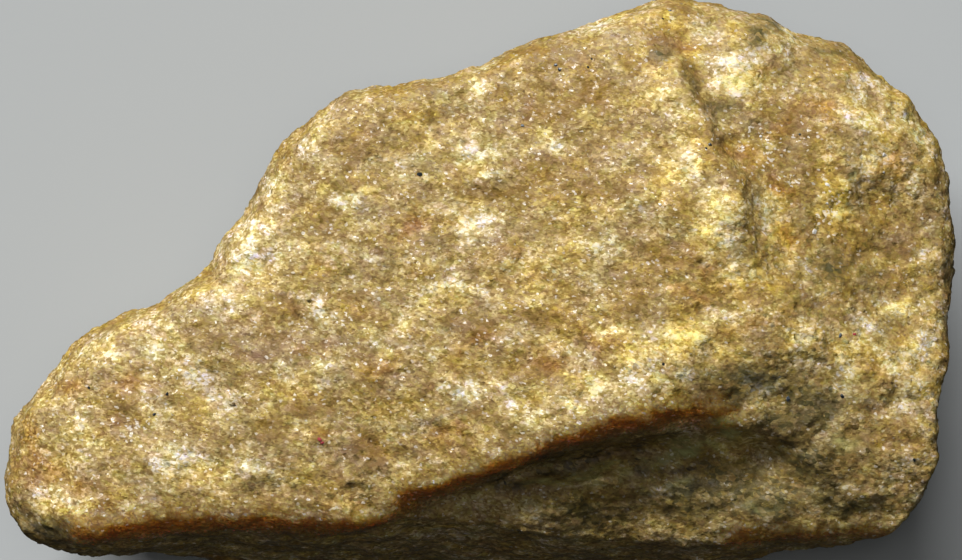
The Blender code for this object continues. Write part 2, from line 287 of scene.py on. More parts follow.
# Patches on the upper side, as (x, y, half-length, half-width).
# Pale: crushed, milky grains; on the right end and on a few slopes, painted light that brightens
# places the lamp leaves too dim.  Yellow: an ochre bloom.  Brown: clear, dark quartz.
# Amber: a faint warm tinge.  Rust: iron stain.  Plum: purplish quartz.
# Olive: the olive-brown of the ledge and the hollows, darkened further as painted shade.
# Green: painted light, greenish, on places in the hollow that lie in shade.  Dark: painted shade,
# near black, in the hollows and along the lower edge.  Spark: places with more painted glints,
# bright dust that stands in for light caught by clear crumbs.
PALE_PATCHES = [
    (-13.7, 11.9, 1.5, 1.2), (-16.6, 8.7, 1.0, 1.5), (-17.9, 5.9, 1.9, 1.2),
    (-19.7, 2.8, 1.7, 2.2), (-18.4, 0.5, 1.9, 0.8), (-21.8, -1.2, 1.4, 1.2),
    (-24.5, -1.4, 0.8, 0.7), (-27.5, -5.2, 1.3, 1.0), (-24.1, -6.9, 1.4, 1.4),
    (-30.4, -5.7, 1.3, 0.8), (-28.3, -2.7, 1.0, 0.6), (-33.0, -12.0, 1.0, 1.5),
    (-36.8, -13.3, 0.8, 0.7), (-36.8, -17.7, 1.4, 0.6), (-33.8, -18.6, 1.7, 0.7),
    (-26.6, -15.4, 1.0, 1.0), (-19.4, -14.7, 1.0, 0.8), (-15.9, -15.8, 0.8, 0.6),
    (-17.3, -8.8, 0.9, 0.6), (-16.6, -6.9, 0.8, 1.0), (-19.3, -6.9, 0.5, 0.5),
    (-1.7, -0.2, 2.0, 1.1), (-0.8, 4.7, 1.4, 1.7), (-9.3, 2.8, 1.4, 0.5), (-12.2, 4.4, 1.2, 0.5),
    (-11.0, 7.8, 2.0, 0.6), (-8.8, 10.4, 1.2, 0.8), (0.0, 12.1, 2.2, 0.9), (-4.0, 12.4, 0.7, 1.4),
    (-5.9, 13.7, 1.5, 0.6), (-4.5, 6.6, 0.8, 0.7), (-1.7, -8.6, 1.2, 0.8), (-9.7, -4.1, 1.2, 0.8),
    (-14.3, 2.8, 1.5, 1.0), (-13.1, -1.4, 0.8, 1.5), (-6.3, -3.6, 1.4, 1.0), (9.8, 3.8, 1.3, 0.8),
    (6.0, 11.9, 0.8, 0.8), (1.7, 9.6, 1.2, 0.6), (9.4, -7.8, 1.3, 0.8), (6.8, -9.5, 1.4, 0.8),
    (13.6, -6.5, 1.5, 0.8), (11.0, -3.6, 1.2, 0.7), (25.9, -4.2, 1.0, 0.8), (31.5, 15.9, 0.8, 1.5),
    (32.4, 10.4, 1.0, 0.8), (38.0, 3.0, 1.5, 1.4), (36.4, -8.0, 1.7, 1.4), (38.1, -10.3, 0.8, 1.7),
    (9.4, 22.7, 1.7, 0.7), (0.0, 16.3, 1.4, 0.7), (21.6, 18.0, 2.0, 1.2), (20.3, 5.8, 1.6, 1.7),
    (17.0, -5.0, 3.2, 1.2), (20.3, 0.9, 1.6, 0.6), (24.6, -2.7, 2.6, 1.2), (32.2, 8.9, 0.9, 0.8),
    (37.5, 11.7, 0.8, 0.8), (-23.9, -14.8, 1.5, 1.0), (-17.5, 3.6, 1.5, 1.2),
    (33.6, -5.8, 2.2, 1.0), (34.3, -2.0, 2.4, 0.9), (35.8, -15.0, 1.4, 1.6),
    (19.6, 17.8, 1.2, 0.7), (20.8, 17.4, 1.2, 0.6), (22.0, 18.7, 2.2, 1.0), (36.0, 14.0, 1.6, 1.6),
    (33.5, 17.0, 1.6, 0.8), (33.2, 13.4, 2.0, 1.4), (36.2, 10.2, 1.4, 1.2), (20.0, 7.6, 1.6, 0.9),
    (19.8, 4.0, 1.8, 1.2), (19.4, 21.4, 2.0, 0.9), (24.6, 20.6, 2.4, 0.9), (17.4, 10.2, 0.8, 1.0),
    (3.0, -8.8, 1.6, 0.8), (4.4, -10.4, 1.4, 0.6), (14.6, -7.6, 2.0, 0.7), (24.0, 5.4, 0.8, 0.8),
    (21.6, 18.2, 1.4, 0.8), (34.6, 13.0, 1.2, 2.0), (32.0, -4.4, 1.6, 0.8), (31.0, -7.0, 1.2, 0.8),
    # Painted light: the patch at (34.5, 8.6) brightens a slope that faces away from the lamp, and the
    # one at (21.4, -13.8) a slope in the shade of the step.
    (36.8, -5.0, 1.2, 1.2), (25.0, -0.6, 1.0, 0.8), (34.5, 8.6, 2.0, 0.8), (23.2, -7.4, 3.0, 1.1),
    (27.8, -4.6, 1.5, 1.0), (18.0, -7.6, 2.0, 0.7), (22.0, 16.8, 1.2, 0.9), (16.2, 4.8, 1.3, 0.9),
    (24.6, 7.4, 0.9, 0.9), (32.4, 10.8, 1.6, 0.8), (21.4, -13.8, 1.6, 0.6), (27.6, 1.8, 1.0, 0.7),
]
YELLOW_PATCHES = [
    (14.4, 18.0, 1.2, 0.8), (15.4, 16.3, 1.4, 1.2), (17.8, 14.2, 1.0, 1.0), (18.7, 12.5, 0.8, 0.6),
    (15.4, 9.6, 1.0, 1.2), (14.9, 7.6, 1.2, 0.7), (19.7, 6.8, 1.7, 1.5), (19.5, 4.7, 1.5, 0.7),
    (13.6, 20.1, 0.8, 0.8), (22.5, 17.6, 2.2, 1.2), (17.0, 22.7, 1.9, 0.8), (4.3, 1.4, 1.7, 0.8),
    (22.5, 0.4, 2.2, 1.0), (17.0, -4.1, 2.7, 1.2), (20.4, -5.1, 1.4, 0.7), (9.2, -8.0, 1.0, 0.8),
    (6.8, -9.7, 1.2, 0.8), (-6.3, -3.4, 1.0, 0.8), (-23.2, -15.1, 2.0, 0.8),
    (-19.4, 1.5, 0.8, 1.0), (29.2, 8.7, 0.5, 3.6), (34.3, -2.0, 2.0, 0.8), (26.3, -5.2, 0.8, 0.8),
    (30.5, -5.8, 0.8, 0.7), (-1.5, -0.3, 1.4, 0.8), (-34.7, -18.5, 2.0, 0.5),
    (-13.5, 11.7, 0.8, 0.7), (29.6, 7.2, 0.7, 3.4), (25.6, 6.4, 0.5, 2.6), (13.8, -5.4, 1.6, 1.4),
    (7.4, -8.6, 1.6, 0.9),
]
BROWN_PATCHES = [
    (-21.1, -4.0, 2.4, 1.2), (-17.6, -4.9, 1.7, 1.0), (-16.0, -2.5, 0.7, 1.2),
    (-23.7, -3.4, 1.5, 0.7), (-17.7, -12.0, 1.9, 1.0), (-15.2, -9.7, 1.5, 0.8),
    (-9.1, -14.1, 2.4, 1.4), (-12.7, -16.3, 1.4, 1.2), (-12.7, -4.8, 1.9, 0.8),
    (-13.9, 9.1, 1.3, 0.7), (-12.7, 6.2, 1.9, 1.0), (-9.7, 11.7, 1.9, 1.0), (-9.3, 5.3, 1.2, 1.9),
    (-18.6, 8.3, 0.5, 1.0), (-2.5, 3.2, 0.7, 0.8), (-11.8, -10.8, 1.7, 0.8), (9.4, 18.9, 1.5, 1.2),
    (5.8, 17.8, 1.9, 1.0), (10.2, 15.5, 1.2, 1.0), (7.7, 9.1, 2.7, 1.2), (10.2, 8.1, 1.0, 0.8),
    (14.4, 2.7, 2.1, 0.6), (13.6, -1.0, 1.5, 0.8), (31.4, 4.9, 0.7, 0.8), (34.8, 0.3, 1.5, 0.8),
    (18.7, -8.2, 2.0, 0.8), (-3.8, 16.8, 1.0, 0.7), (0.0, -2.7, 1.4, 1.2), (-4.2, 4.1, 0.8, 0.8),
    (6.8, 18.9, 3.4, 1.2), (4.1, 12.1, 0.7, 0.5), (4.3, -6.3, 2.5, 0.6), (26.6, 12.3, 1.5, 2.3),
    (35.6, 5.4, 2.5, 1.0), (12.0, -14.0, 3.8, 1.2), (20.8, 15.0, 1.2, 1.0), (22.4, 12.4, 1.0, 0.8),
    (24.6, 9.0, 1.0, 1.2), (34.5, 3.4, 3.0, 1.2), (16.6, 20.0, 1.0, 0.6), (17.7, 18.2, 0.5, 0.8),
    (19.2, 15.4, 0.5, 0.9), (5.0, 15.0, 3.0, 0.8), (1.0, 8.0, 2.6, 0.7), (-6.0, 0.4, 2.2, 0.6),
    (4.0, -2.6, 2.6, 0.6), (3.6, 16.4, 2.0, 1.1), (8.2, 16.6, 2.4, 1.0), (7.2, 8.4, 3.2, 1.6),
    (5.6, 10.6, 2.0, 0.8), (11.0, 7.8, 1.2, 0.8), (30.2, 4.0, 1.8, 1.4), (14.8, -2.0, 1.8, 0.8),
    (10.8, -4.8, 2.2, 0.7), (3.0, -7.4, 1.7, 0.8), (31.0, 13.8, 1.2, 1.1), (31.4, -13.6, 1.7, 1.1),
    (-11.6, 12.6, 1.4, 0.8),
]
AMBER_PATCHES = [
    (6.6, 16.6, 5.0, 2.0), (8.6, 6.8, 4.0, 4.0), (7.6, -1.6, 4.0, 2.2), (17.4, -3.0, 3.4, 2.6),
    (21.6, 1.2, 3.6, 2.6), (25.4, 3.2, 2.8, 3.4), (31.0, 6.6, 3.4, 3.4), (34.6, 12.6, 3.2, 2.6),
    (20.0, -6.6, 2.4, 1.6), (8.4, -7.4, 2.4, 1.2), (2.6, -7.6, 2.0, 1.0), (34.2, -6.4, 3.8, 2.2),
    (20.4, -14.6, 5.4, 2.0), (-6.4, 14.2, 2.0, 1.0), (18.6, 10.6, 1.4, 1.2),
]
RUST_PATCHES = [
    (15.7, 21.2, 1.1, 1.0), (17.8, 20.0, 1.5, 0.7), (28.8, 15.2, 1.7, 1.0), (25.4, 13.7, 1.2, 0.8),
    (22.2, 11.3, 1.4, 0.7), (34.6, 10.2, 1.5, 0.8), (25.9, 4.1, 0.8, 1.4), (25.4, 8.3, 1.1, 0.8),
    (18.7, 2.3, 1.0, 0.4), (17.0, -0.3, 1.9, 0.7), (22.9, -3.4, 2.2, 0.7), (25.1, -1.9, 0.5, 0.6),
    (5.5, -5.8, 1.9, 0.7), (10.2, -4.4, 1.9, 0.6), (0.0, -4.2, 1.2, 0.7), (-37.0, -15.4, 2.0, 1.9),
    (-33.7, -16.3, 1.2, 0.6), (-33.8, -8.5, 1.2, 0.6), (-29.6, -8.3, 1.2, 1.0),
    (-8.3, -7.1, 1.5, 0.8), (-5.9, 5.1, 0.7, 0.7), (-3.3, -12.0, 1.5, 0.7), (39.4, -1.0, 0.7, 0.7),
    (-13.3, -12.9, 0.7, 0.4), (24.4, 18.2, 1.2, 0.6), (-37.6, -12.6, 0.7, 1.6),
]
# The olive film is partly the olive-brown of the ledge, the hollows and the scar's edges, and partly
# painted shade: it darkens them further where they lie in shade.
OLIVE_PATCHES = [
    (20.5, 14.9, 1.0, 0.8), (17.8, 16.6, 0.5, 1.0), (15.1, 19.6, 1.0, 0.6), (23.9, 21.3, 1.0, 0.8),
    (29.5, 20.0, 1.5, 0.6), (30.3, 1.4, 2.2, 1.4), (31.2, 9.6, 0.8, 1.0), (22.9, -7.4, 4.2, 1.5),
    (27.1, -9.5, 2.5, 1.7), (20.4, -11.6, 1.2, 0.6), (17.0, -13.7, 1.5, 0.7),
    (29.7, -10.3, 1.7, 1.4), (25.4, -17.9, 5.1, 2.0), (8.6, -18.6, 4.0, 1.7),
    (17.4, -18.0, 4.6, 2.0), (-36.7, -20.0, 2.9, 1.0), (22.1, 3.2, 0.8, 0.7),
    (21.2, -16.0, 3.0, 2.0), (27.4, -14.6, 3.4, 2.0), (31.0, -18.2, 2.4, 1.4),
    (25.0, -11.4, 2.4, 1.2), (21.6, -8.8, 1.4, 0.7),
]
PLUM_PATCHES = [
    (-6.1, 5.1, 1.0, 0.9), (-16.0, -2.5, 0.7, 0.8), (-8.2, -8.5, 0.9, 1.0), (-4.1, -8.3, 0.8, 0.5),
    (4.4, 14.6, 0.7, 0.6), (-30.5, -12.0, 1.4, 0.6), (12.5, 4.6, 1.2, 0.5), (24.5, 9.6, 0.9, 0.8),
    (-21.0, -18.9, 5.0, 0.4), (-12.0, -18.8, 3.0, 0.4), (-19.0, -5.4, 1.8, 0.6),
    (-27.0, -8.0, 2.0, 0.5), (-14.6, -4.6, 1.4, 0.6), (-10.0, -13.0, 1.6, 0.6),
    (2.4, 3.0, 1.6, 0.5), (8.6, -0.6, 1.4, 0.5),
]
# Painted light: greenish bright patches on places in the hollow that lie in shade.
PAINTED_LIGHT_PATCHES = [
    (14.9, -14.4, 1.2, 0.5), (17.0, -13.6, 1.2, 0.5), (19.6, -13.4, 1.2, 0.5),
    (10.2, -15.5, 2.2, 0.4), (8.6, -15.6, 1.6, 0.4), (10.6, -15.4, 1.4, 0.3),
    (5.0, -16.4, 2.0, 0.4), (21.0, -11.6, 1.0, 0.7), (17.0, -16.6, 1.2, 0.4),
    (23.8, -18.6, 1.0, 0.5), (30.5, -13.0, 1.0, 0.5),
]
# Painted shade: near-black patches where the hollows and the lower edge lie in shade.
PAINTED_SHADE_PATCHES = [
    (5.2, -15.0, 1.8, 0.6), (8.0, -14.6, 1.8, 0.8), (10.6, -14.3, 1.9, 0.9),
    (13.4, -13.4, 1.8, 0.8), (16.0, -12.4, 1.4, 0.5), (17.2, -15.2, 1.8, 0.4),
    (25.2, -12.7, 1.4, 0.5), (2.6, -16.4, 2.4, 0.7), (23.4, -18.9, 0.7, 0.8),
    (-37.0, -20.3, 2.6, 0.5), (19.0, -16.7, 2.8, 0.6), (13.8, -14.8, 1.4, 0.5),
]
# Places where the painted glints, bright dust that stands in for light caught by clear crumbs, are
# more frequent.
SPARK_PATCHES = [
    (22.6, 13.0, 1.6, 0.7), (24.2, 12.2, 0.8, 0.6), (24.0, 11.2, 0.5, 0.9), (26.5, 13.1, 0.9, 0.3),
    (28.0, 13.0, 0.6, 0.3), (24.5, 8.3, 0.8, 0.4), (15.0, -8.6, 1.4, 0.3), (22.0, -10.7, 0.9, 0.3),
    (-26.6, -6.9, 0.9, 0.4), (-16.0, -16.1, 0.7, 0.35), (29.0, 6.4, 0.5, 1.6),
    (26.0, 9.4, 0.9, 0.4), (-29.0, -12.0, 2.0, 0.6), (3.6, -9.4, 0.8, 0.4), (-1.6, -0.4, 0.9, 0.6),
    (-12.0, -2.6, 1.4, 0.5), (12.6, -7.4, 1.2, 0.5),
]

# Thin edges that light comes through, deep orange: the brow over the hollow, the lower edge and
# the right end of the ledge.  Along them the orange and a darker tone are also painted into the
# colour.
BROW_EDGE = [
    (-6.4, -18.0, 25.8), (-2.3, -16.9, 26.6), (3.7, -14.6, 28.0), (7.3, -13.6, 28.4),
    (9.8, -12.5, 28.7), (11.6, -11.7, 28.9), (15.4, -11.1, 28.6), (20.4, -10.6, 27.3),
]
LOWER_FACE_EDGE = [
    (-33.7, -20.2, 25.3), (-25.0, -19.7, 25.4), (-19.4, -19.9, 25.4), (-13.0, -20.5, 25.4),
    (-8.4, -20.3, 25.4),
]
LEDGE_EDGE = [(22.0, -21.3, 20.6), (28.0, -21.9, 20.6), (33.6, -21.6, 20.6)]
THIN_EDGES = [BROW_EDGE, LOWER_FACE_EDGE, LEDGE_EDGE]
# How far the light spreads around an edge, along x, y and z.
EDGE_REACH = np.array([1.8, 1.8, 2.2])

# Down the sides of the stone, the patches fade out between these two heights.
SIDE_HEIGHTS = (9.0, 15.0)
# Below them the stains, and the painted light and shade, come in clouds instead: (width of a
# cloud, its strength).
SIDE_CLOUDS = (4.0, 1.6)
# How far the outlines of the patches wander: (width of a bend, its depth).
PATCH_WANDER = [(2.6, 1.3), (1.0, 0.5)]

# Each kind of stain, and of painted light and shade: (its patches, how strong they are).
STAINS_AND_PAINTED_LIGHT = {
    "pale": (PALE_PATCHES, 1.0),
    "yellow": (YELLOW_PATCHES, 0.8),
    "brown": (BROWN_PATCHES, 1.0),
    "amber": (AMBER_PATCHES, 0.8),
    "rust": (RUST_PATCHES, 0.75),
    "plum": (PLUM_PATCHES, 0.8),
    "olive": (OLIVE_PATCHES, 0.82),
    "green": (PAINTED_LIGHT_PATCHES, 0.5),
    "dark": (PAINTED_SHADE_PATCHES, 0.8),
    "spark": (SPARK_PATCHES, 0.8),
}


def patch_mask(points, patches):
    """How far each point lies inside the patches, from 0 to 1."""
    clear = np.ones(len(points))
    for x, y, length, width in patches:
        off = ((points[:, 0] - x) / length) ** 2 + ((points[:, 1] - y) / width) ** 2
        clear *= 1.0 - np.exp(-off)
    return 1.0 - clear


def line_mask(points, line, reach):
    """1 along a line, fading out over a reach that can differ along x, y and z."""
    nearest = np.full(len(points), np.inf)
    places = points / reach
    corners = np.array(line) / reach
    for start, end in zip(corners, corners[1:]):
        along = end - start
        share = np.clip((places - start) @ along / (along @ along), 0.0, 1.0)
        off = places - start - share[:, None] * along
        nearest = np.minimum(nearest, (off ** 2).sum(axis=1))
    return np.exp(-nearest)


def write_mask(mesh, name, mask):
    """Keep a number for each of the mesh's points, for the material to read."""
    mesh.attributes.new(name, "FLOAT", "POINT").data.foreach_set("value", mask)


def paint_stains_and_painted_light(mesh, settings):
    """Write each kind of stain and of painted light and shade, and the glow of the thin edges, on the
    mesh as a mask from 0 to 1.
    """
    points = read_points(mesh)
    low, high = SIDE_HEIGHTS
    upper = np.clip((points[:, 2] - low) / (high - low), 0.0, 1.0)
    glow = [line_mask(points, line, EDGE_REACH) for line in THIN_EDGES]
    write_mask(mesh, "glow", upper * np.max(glow, axis=0))
    size, strength = SIDE_CLOUDS
    bent = points.copy()
    for index, (width, depth) in enumerate(PATCH_WANDER):
        bent += bends(points, width, settings.seed + index) * depth
    for index, (name, (patches, most)) in enumerate(STAINS_AND_PAINTED_LIGHT.items()):
        clouds = np.clip(strength * lumps(points, size, settings.seed + index), 0.0, 1.0)
        mask = most * patch_mask(bent, patches)
        write_mask(mesh, name, upper * mask + (1.0 - upper) * most * clouds)


def finished(piece):
    """The piece belongs to the stone's body."""
    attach(piece, "root")


def make_stone(settings):
    """The stone's fine surface, in place of the plain solid."""
    noise.seed_set(settings.seed)
    piece = fine_copy(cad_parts[STONE_NODE], settings.mesh_step)
    write_points(piece.data, relief_points(piece.data, settings))
    thin(piece, settings.triangles)
    rest_on_floor(piece.data)
    paint_stains_and_painted_light(piece.data, settings)
    piece.data.shade_smooth()
    piece.data.materials.clear()
    piece.data.materials.append(stone_material(settings))
    finished(piece)
    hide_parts(STONE_NODE)
    bpy.context.view_layer.update()


# ---------------------------------------------------------------- specks

# Single grains of other minerals on the upper side, as (x, y, radius), after their name and colour.
SPECKS = [
    ("black", (0.016, 0.021, 0.024), [
        (-5.0, 9.5, 0.24), (6.4, 18.7, 0.16), (6.7, 18.3, 0.18), (9.1, 18.5, 0.13),
        (9.4, 19.2, 0.12), (15.4, 22.6, 0.13), (16.0, 23.3, 0.14), (-32.8, -8.4, 0.15),
        (-27.3, -10.6, 0.16), (-26.2, -8.9, 0.14), (15.4, -6.4, 0.15), (30.5, -9.1, 0.20),
        (36.6, -14.5, 0.16), (19.3, 12.0, 0.20), (19.0, 11.7, 0.15), (26.9, 12.9, 0.12),
    ]),
    ("grey", (0.10, 0.12, 0.14), [(30.3, -4.0, 0.20), (25.9, -9.3, 0.22), (3.6, 13.6, 0.16)]),
    ("red", (0.34, 0.05, 0.055), [(-13.4, -12.7, 0.20), (-13.2, -13.0, 0.16), (31.5, -3.9, 0.16)]),
    # The clear grains are pale partly for their own milky colour and partly as painted glints of
    # light off clear quartz.
    ("clear", (0.72, 0.69, 0.62), [
        (29.2, 8.7, 0.20), (34.0, 11.2, 0.20), (34.0, 9.7, 0.13), (15.1, 7.0, 0.15),
        (28.1, 4.7, 0.24), (29.2, 7.1, 0.13), (23.6, 12.7, 0.15),
    ]),
]
# How thick a speck is for its width, and how drawn out it can be.
SPECK_THICKNESS = 0.45
SPECK_STRETCH = 0.5
# How jagged it is: the depth of its jags and how many there are to its radius.
JAG_DEPTH, JAGS = 0.5, 3.0
SPECK_ROUGHNESS = 0.3
# A height above the whole stone.
ABOVE = 100.0


def add_speck(mesh, stone, speck, slot):
    """One jagged grain, half sunk in the stone at a place seen from above."""
    x, y, radius = speck
    _, place, normal, _ = stone.ray_cast(Vector((x, y, ABOVE)) * MM, (0.0, 0.0, -1.0))
    turn = normal.to_track_quat("Z", "Y").to_matrix().to_4x4()
    spin = Matrix.Rotation(x + y, 4, "Z")
    stretch = 1.0 + SPECK_STRETCH * noise.noise((x, y, radius))
    size = Vector((stretch, 1.0 / stretch, SPECK_THICKNESS)) * radius * MM
    shape = Matrix.Translation(place) @ turn @ spin @ Matrix.Diagonal(size.to_4d())
    lump = bmesh.ops.create_icosphere(mesh, subdivisions=1, radius=1.0)
    for vertex in lump["verts"]:
        rough = noise.noise_vector(vertex.co * JAGS + Vector((x, y, 0.0)))
        vertex.co = shape @ (vertex.co + rough * JAG_DEPTH)
        for face in vertex.link_faces:
            face.material_index = slot


def make_specks(stone, seed):
    """The single grains of other minerals, as one mesh."""
    noise.seed_set(seed)
    data = bpy.data.meshes.new(SPECKS_PIECE)
    mesh = bmesh.new()
    for slot, (name, colour, specks) in enumerate(SPECKS):
        data.materials.append(plain_material("speck_" + name, colour, SPECK_ROUGHNESS))
        for speck in specks:
            add_speck(mesh, stone, speck, slot)
    mesh.to_mesh(data)
    mesh.free()
    finished(add_object(SPECKS_PIECE, data))


# ---------------------------------------------------------------- materials

# The colour sockets of a Mix node, by index: two that go in and one that comes out.
COLOUR_A, COLOUR_B, COLOUR_OUT = 6, 7, 2


class Graph:
    """Short calls that add and link the nodes of one node tree."""

    def __init__(self, tree):
        self.tree = tree

    def node(self, kind, inputs=None, **settings):
        """A new node with its settings and inputs; an input is a value or another node's output."""
        node = self.tree.nodes.new("ShaderNode" + kind)
        for name, value in settings.items():
            setattr(node, name, value)
        for name, value in (inputs or {}).items():
            self.feed(node.inputs[name], value)
        return node

    def feed(self, socket, value):
        """Link an output to a socket, or set the socket's own value."""
        if isinstance(value, bpy.types.NodeSocket):
            self.tree.links.new(value, socket)
        else:
            socket.default_value = value

    def maths(self, operation, first, second=0.0):
        """One sum on numbers."""
        return self.node("Math", {0: first, 1: second}, operation=operation).outputs[0]

    def vector_maths(self, operation, first, second):
        """One sum on vectors."""
        inputs = {0: first, 1: second}
        return self.node("VectorMath", inputs, operation=operation).outputs["Vector"]

    def scaled(self, vector, factor):
        """A vector times a number."""
        inputs = {0: vector, "Scale": factor}
        return self.node("VectorMath", inputs, operation="SCALE").outputs["Vector"]

    def span(self, value, low, high, to_low=0.0, to_high=1.0):
        """A value carried from one range to another, and kept inside it."""
        inputs = {"Value": value, "From Min": low, "From Max": high}
        inputs.update({"To Min": to_low, "To Max": to_high})
        return self.node("MapRange", inputs, clamp=True).outputs["Result"]

    def mixed(self, factor, first, second, blend="MIX"):
        """Two colours mixed."""
        inputs = {0: factor, COLOUR_A: first, COLOUR_B: second}
        node = self.node("Mix", inputs, data_type="RGBA", blend_type=blend)
        return node.outputs[COLOUR_OUT]

    def noise(self, vector, size, detail, roughness):
        """Cloudy noise with lumps of a size in millimetres."""
        inputs = {"Vector": vector, "Scale": 1.0 / size, "Detail": detail, "Roughness": roughness}
        return self.node("TexNoise", inputs)

    def cells(self, vector, size):
        """Random cells of a size in millimetres."""
        return self.node("TexVoronoi", {"Vector": vector, "Scale": 1.0 / size})

    def ramp(self, value, stops):
        """A colour for each value, from stops of (position, colour)."""
        node = self.node("ValToRGB", {"Fac": value})
        elements = node.color_ramp.elements
        elements.remove(elements[1])
        elements[0].position, elements[0].color = stops[0][0], rgba(stops[0][1])
        for position, colour in stops[1:]:
            elements.new(position).color = rgba(colour)
        return node.outputs["Color"]


def rgba(colour):
    """A colour with full opacity."""
    return (*colour[:3], 1.0)


# The sizes of the stone's grains, of the crumbs they break into, and of the finest dust.
GRAIN, CRUMB, DUST = 0.85, 0.36, 0.18
# The clouds of colour: (width of a cloud, detail, roughness).
CLOUDS = (2.4, 4.0, 0.7)
# How the outlines of the clouds and of the cells are bent: (width of a bend, its depth).
CLOUD_BEND = (1.2, 0.9)
CELL_BEND = (0.5, 0.2)
# The detail and roughness of the noise that bends them.
BEND_NOISE = (2.0, 0.6)
# The middle of a random colour's range.
MIDDLE = (0.5, 0.5, 0.5)

# The tone runs from 0 for brown to 1 for white.  These are the tones of the four colours.
BROWN_TONE, TAN_TONE, CREAM_TONE, WHITE_TONE = 0.02, 0.45, 0.78, 1.0
# How far each stain moves the tone; the glow's shift is painted shade, darker along the thin edges.
TONE_SHIFTS = {"pale": 0.31, "yellow": 0.29, "brown": -0.30, "rust": -0.08, "glow": -0.17}
# The range of the clouds' noise that counts, and how far its two ends move the tone.
CLOUD_TONES = (0.3, 0.7, -0.02, 0.60)
# How far a random crumb and a random bit of dust move the tone, either way.
CRUMB_TONE, DUST_TONE = 0.05, 0.31
# Some cells are pale: (how rare they are, how far they move the tone).
PALE_GRAINS = (0.70, 0.19)
PALE_CRUMBS = (0.62, 0.20)
# How much likelier a stain makes them, and the same for the clouds, over a range of their noise.
STAIN_CHANCES = {"pale": 0.50, "yellow": 0.15, "brown": -0.3}
CLOUD_CHANCES = (0.32, 0.68, -0.35, 0.35)
# How gradually cells turn pale as they grow likelier, and where their soft edge starts and ends.
PALE_STEP = 0.25
CELL_EDGE = (0.65, 0.35)

# The tints that stains give the stone.
STAIN_TINTS = {
    "yellow": (1.08, 1.00, 0.55),
    "amber": (1.05, 1.00, 0.66),
    "rust": (1.00, 0.74, 0.42),
    "plum": (0.92, 0.76, 0.84),
}
# The glow tint is painted light: the orange of light passing through the thin edges, painted into the
# colour on top of the real subsurface light.
PAINTED_GLOW_TINT = (1.02, 0.80, 0.42)
# How much the clouds break up the glow, and the range over which the glow sets in.
GLOW_CLOUDS = 0.4
GLOW_START = (0.6, 1.2)
# The clouds run from ochre to grey, over this range of their random colour.
OCHRE_TINT = (1.08, 1.00, 0.60)
GREY_TINT = (0.95, 1.00, 1.25)
CLOUD_HUES = (0.34, 0.66)
# The grains and crumbs run from leaf to rose.
LEAF_TINT = (0.98, 1.00, 0.86)
ROSE_TINT = (1.01, 0.97, 1.15)

# Some of the dust is painted dark, as painted shade in tiny pits, and some painted bright, as
# painted glints of light off clear crumbs: (where it starts, where it is full, least strength, most
# strength).  Sparks make the painted glints this much likelier.
PAINTED_PIT_SHADE = (0.04, 0.032, 0.018)
PIT_SHADE = (0.92, 0.97, 0.0, 0.3)
PAINTED_GLINT_COLOUR = (0.95, 0.90, 0.80)
PAINTED_GLINTS = (0.96, 1.0, 0.0, 0.5)
SPARK_CHANCE = 0.25

# The olive film, the painted light (green) and the painted shade (dark) in the hollows, and their
# least and greatest strength from crumb to crumb.  The olive is darker than the ledge's own
# olive-brown, as painted shade.
FILM_AND_PAINTED_LIGHT_COLOURS = {
    "olive": (0.085, 0.070, 0.020),
    "green": (0.58, 0.58, 0.20),
    "dark": (0.04, 0.032, 0.018),
}
FILM_AND_PAINTED_LIGHT_STRENGTHS = (0.5, 1.3)

# How far crumbs and dust tilt, from where there is no olive film to where it is thick.
FILM_TILTS = (0.0, 0.74, 0.62, 0.40)
# The dust's share of the tilt.
DUST_SHARE = 0.5
# The bump's height, how much of it is the roundness of the grains, and the noise for the rest.
BUMP_HEIGHT = 0.09
GRAIN_DOME = 0.5
BUMP_NOISE = (0.45, 3.0, 0.8)

# Clear dust is smoother: (where it starts, where it is full, the stone's roughness, the dust's).
SHINE = (0.7, 0.95, 0.6, 0.2)
# Light passes through the thin edges: where that starts and where it is full, how far the light
# goes, and the share of that distance for red, green and blue.
GLOW_EDGE = (0.15, 0.55)
GLOW_DEPTH = 9.0
GLOW_SHARES = (1.0, 0.58, 0.22)


def fabric_place(graph):
    """Coordinates in millimetres, squeezed along the stone's fabric."""
    place = graph.scaled(graph.node("TexCoord").outputs["Object"], 1.0 / MM)
    turn = graph.node("VectorRotate", {"Vector": place, "Angle": FABRIC_TURN}, rotation_type="Z_AXIS")
    squeeze = (1.0 / FABRIC_STRETCH, 1.0, 1.0)
    return graph.vector_maths("MULTIPLY", turn.outputs["Vector"], squeeze)


def drifted(graph, place, size, depth):
    """Coordinates bent sideways, so that nothing on them runs straight."""
    bend = graph.noise(place, size, *BEND_NOISE).outputs["Color"]
    bend = graph.scaled(graph.vector_maths("SUBTRACT", bend, MIDDLE), depth)
    return graph.vector_maths("ADD", place, bend)


def channel(graph, texture, name):
    """One channel of a texture's random colour, as a number from 0 to 1."""
    return graph.node("SeparateColor", {"Color": texture.outputs["Color"]}).outputs[name]


def total(graph, terms):
    """The sum of several numbers."""
    result = terms[0]
    for term in terms[1:]:
        result = graph.maths("ADD", result, term)
    return result


def weighted(graph, masks, weights):
    """Each named mask times its weight."""
    return [graph.maths("MULTIPLY", masks[name], weight) for name, weight in weights.items()]


def pale_cells(graph, cells, chance, rarity, shift):
    """A shift of tone in the middle of the cells that are pale, which are random ones."""
    luck = graph.maths("ADD", channel(graph, cells, "Red"), chance)
    chosen = graph.span(luck, rarity, rarity + PALE_STEP)
    body = graph.span(cells.outputs["Distance"], *CELL_EDGE)
    return graph.maths("MULTIPLY", graph.maths("MULTIPLY", chosen, body), shift)


